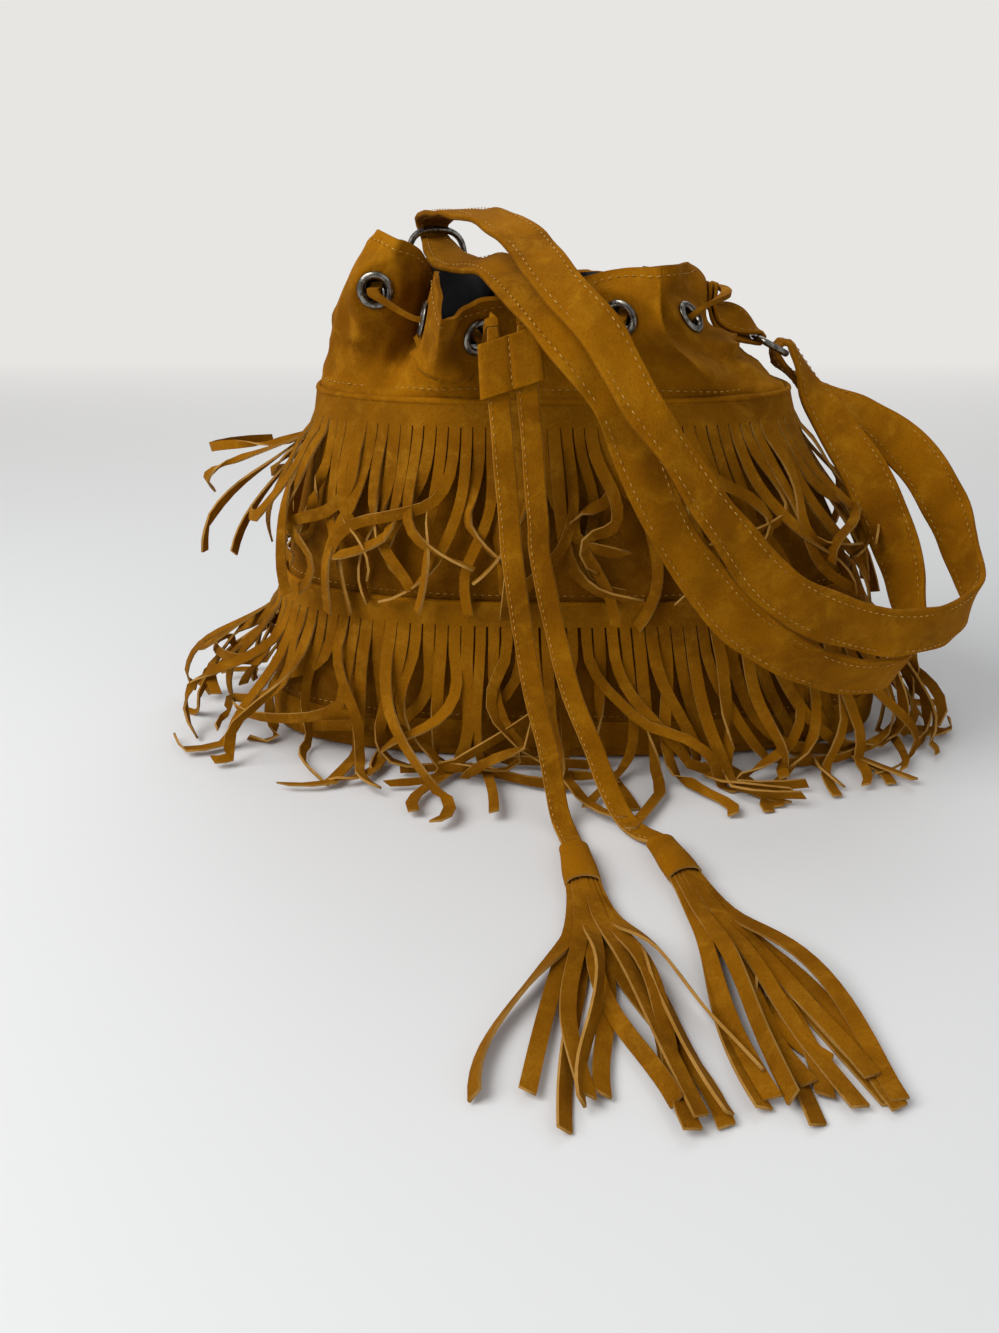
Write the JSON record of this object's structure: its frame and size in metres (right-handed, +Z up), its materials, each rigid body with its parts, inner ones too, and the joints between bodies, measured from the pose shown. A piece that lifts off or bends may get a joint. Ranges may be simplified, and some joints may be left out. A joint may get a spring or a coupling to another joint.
{
  "type": "fringed drawstring bag",
  "caption": "Soft suede drawstring shoulder bag with two fringed tiers, a gathered eyeleted mouth, a sliding cord keeper, tasselled cord ends and a looped strap on D-rings.",
  "frame": {"origin": "centre of the base, on the ground", "axes": "+X along the bag's width to its right seen from the front, -Y to the front where the cord ends hang, +Z up"},
  "size_m": [0.4618, 0.4056, 0.2874],
  "materials": {
    "suede": "napped suede",
    "lining": "plain woven lining",
    "board": "stiffening board",
    "metal": "antique nickel plate"
  },
  "bodies": {
    "bag": {"base_panel": "suede", "base_board": "board", "lower_panel": "suede", "middle_panel": "suede", "collar": "suede", "lining": "lining", "fringe_upper": "suede", "fringe_lower": "suede", "drawstring": "suede", "drawstring_tail_left": "suede", "drawstring_tail_right": "suede", "tassel_left": "suede", "tassel_right": "suede", "ring_tab_left": "suede", "ring_tab_right": "suede", "shoulder_strap": "suede", "eyelet_1": "metal", "eyelet_washer_1": "metal", "eyelet_2": "metal", "eyelet_washer_2": "metal", "eyelet_3": "metal", "eyelet_washer_3": "metal", "eyelet_4": "metal", "eyelet_washer_4": "metal", "eyelet_5": "metal", "eyelet_washer_5": "metal", "eyelet_6": "metal", "eyelet_washer_6": "metal", "eyelet_7": "metal", "eyelet_washer_7": "metal", "eyelet_8": "metal", "eyelet_washer_8": "metal"},
    "keeper": {"cord_keeper": "suede"},
    "left_ring": {"ring_left": "metal"},
    "right_ring": {"ring_right": "metal"}
  },
  "joints": [
    {"name": "keeper_slide", "type": "slide", "parent": "bag", "child": "keeper", "axis": [0.0902, -0.0852, -0.9923], "range_m": [0, 0.055]},
    {"name": "left_ring_swing", "type": "hinge", "parent": "bag", "child": "left_ring", "pos_m": [-0.0787, 0.01883, 0.2595], "axis": [-0.9358, -0.3526, 0], "range_deg": [-8, 45], "deforming": ["shoulder_strap"]},
    {"name": "right_ring_swing", "type": "hinge", "parent": "bag", "child": "right_ring", "pos_m": [0.09495, 0.00549, 0.224], "axis": [0.0572, 0.9984, 0], "range_deg": [-55, 10], "deforming": ["shoulder_strap"]}
  ]
}
